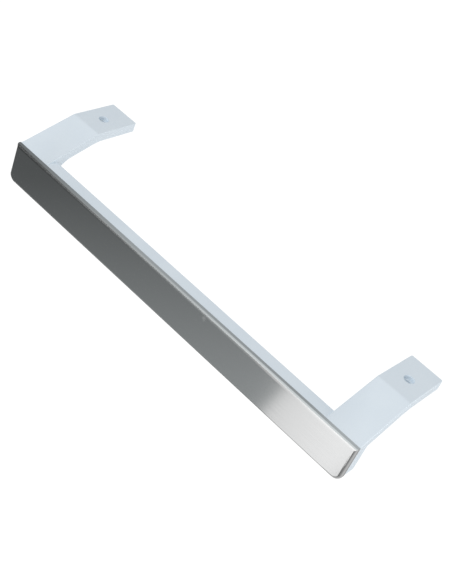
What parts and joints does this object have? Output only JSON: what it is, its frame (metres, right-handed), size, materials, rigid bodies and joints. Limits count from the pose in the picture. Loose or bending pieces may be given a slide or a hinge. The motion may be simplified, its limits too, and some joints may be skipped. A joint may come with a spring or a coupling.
{
  "type": "refrigerator door handle",
  "caption": "White moulded bar handle with rising arms, level screw pads and a brushed steel front trim, for pulling a refrigerator door open.",
  "frame": {"origin": "midway between the screw holes, on the plane where the pads seat", "axes": "+X along the bar, +Y from the trim's face towards the pads, +Z out of the seating plane towards the screw heads"},
  "size_m": [0.372, 0.1034, 0.0517],
  "materials": {
    "white_plastic": "satin",
    "trim_steel": "brushed"
  },
  "bodies": {
    "root": {"handle_body": "white_plastic", "front_trim": "trim_steel"}
  },
  "joints": []
}
